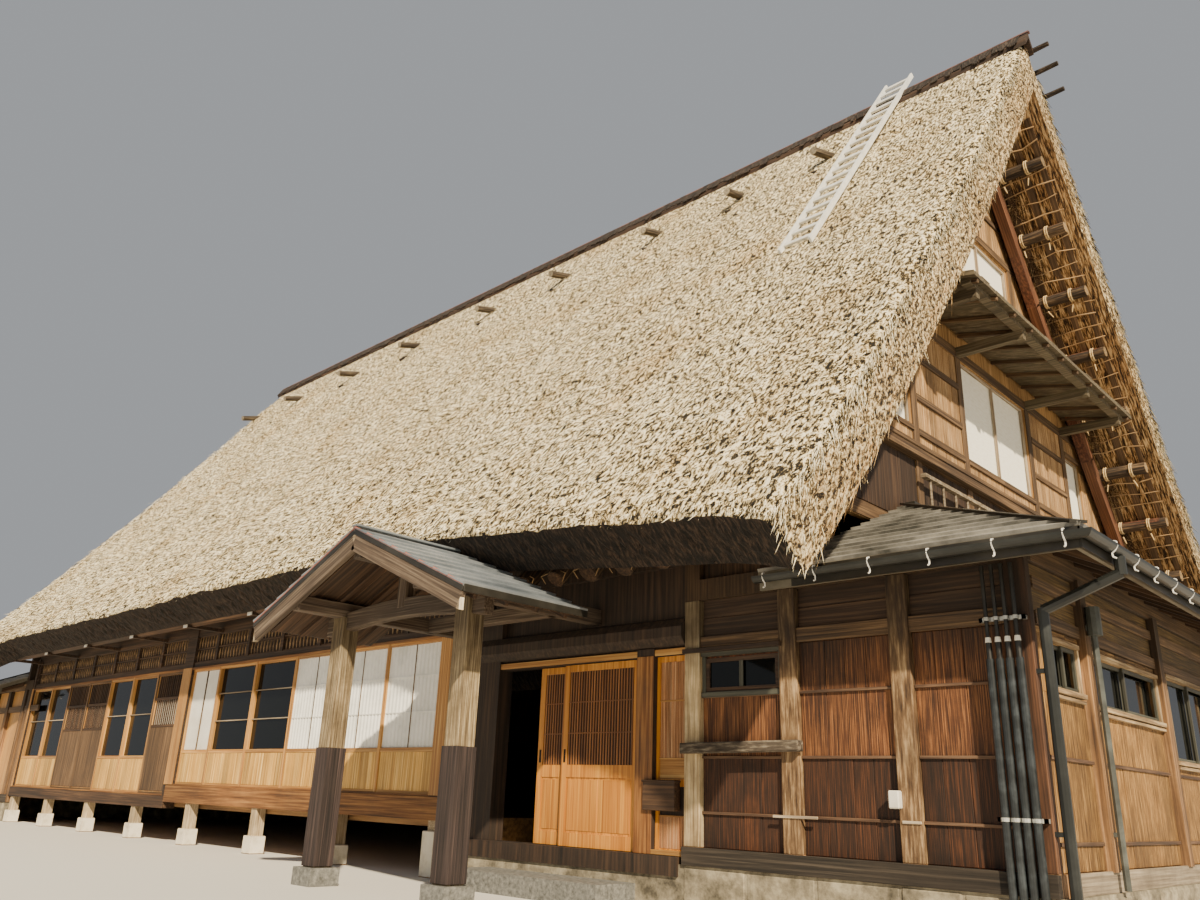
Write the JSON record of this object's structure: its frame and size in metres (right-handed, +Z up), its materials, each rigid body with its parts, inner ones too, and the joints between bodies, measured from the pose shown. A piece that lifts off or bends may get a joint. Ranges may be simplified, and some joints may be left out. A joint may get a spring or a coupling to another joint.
{
  "type": "thatched farmhouse",
  "caption": "Long farmhouse under a steep straw gable roof, with board walls, sliding windows, a gabled porch over sliding entrance doors and a lean-to at each end.",
  "frame": {"origin": "middle of the footprint's bounding box, on the ground", "axes": "+X along the ridge towards the board-walled end beside the entrance, +Y from the entrance front to the rear, +Z up"},
  "size_m": [23.1428, 13.6112, 11.5968],
  "materials": {
    "stone": "rough",
    "concrete": "trowelled",
    "floor_boards": "worn",
    "sill_wood": "worn",
    "dark_wood": "weathered",
    "grey_wood": "weathered",
    "honey_wood": "satin",
    "red_boards": "weathered",
    "tan_boards": "weathered",
    "door_wood": "satin",
    "window_glass": "clear",
    "window_paper": "matt",
    "straw": "rough cut",
    "bark": "rough",
    "seam_metal": "matt",
    "porch_metal": "satin",
    "gutter_metal": "satin",
    "pipe_cover": "matt",
    "ladder_metal": "bare"
  },
  "bodies": {
    "house": {"foundation_right": "stone", "foundation_left": "stone", "foundation_rear": "stone", "entrance_step": "stone", "raised_floor": "floor_boards", "entrance_floor": "concrete", "front_underframe": "sill_wood", "window_wall_frame": "dark_wood", "window_sashes_left": "honey_wood", "window_sashes_right": "honey_wood", "window_panes_left": "window_glass", "window_panes_right": "window_glass", "front_boards_left": "honey_wood", "front_boards_right": "red_boards", "front_window_right": "dark_wood", "wall_frame_right": "grey_wood", "wall_frame_left": "grey_wood", "entrance_frame": "dark_wood", "side_lattice": "honey_wood", "end_boards_right": "tan_boards", "end_panes_right": "window_glass", "end_boards_left": "tan_boards", "end_panes_left": "window_glass", "rear_frame": "grey_wood", "rear_boards": "tan_boards", "rear_panes": "window_glass", "thatch_front": "straw", "thatch_rear": "straw", "ridge_cap": "bark", "gable_wall_lower_right": "tan_boards", "gable_wall_upper_right": "tan_boards", "gable_paper_lower_right": "window_paper", "gable_paper_upper_right": "window_paper", "pent_roof_right": "grey_wood", "raking_rafters_right": "dark_wood", "gable_wall_lower_left": "tan_boards", "gable_wall_upper_left": "tan_boards", "gable_paper_lower_left": "window_paper", "gable_paper_upper_left": "window_paper", "pent_roof_left": "grey_wood", "raking_rafters_left": "dark_wood", "lean_to_roof_right": "seam_metal", "lean_to_roof_left": "seam_metal", "gutter_right": "gutter_metal", "gutter_left": "gutter_metal", "downpipe_right": "gutter_metal", "wall_pipes": "pipe_cover", "wall_conduit": "pipe_cover", "porch_footing_left": "stone", "porch_footing_right": "stone", "porch_frame": "grey_wood", "porch_roof": "porch_metal", "porch_bargeboards": "grey_wood", "roof_ladder": "ladder_metal", "lean_to_ladder": "grey_wood"},
    "door_left": {"door_leaf_left": "door_wood"},
    "door_right": {"door_leaf_right": "door_wood"}
  },
  "joints": [
    {"name": "door_left_slide", "type": "slide", "parent": "house", "child": "door_left", "axis": [1, 0, 0], "range_m": [-0.52, 0.385]},
    {"name": "door_right_slide", "type": "slide", "parent": "house", "child": "door_right", "axis": [1, 0, 0], "range_m": [-0.91, 0]}
  ]
}
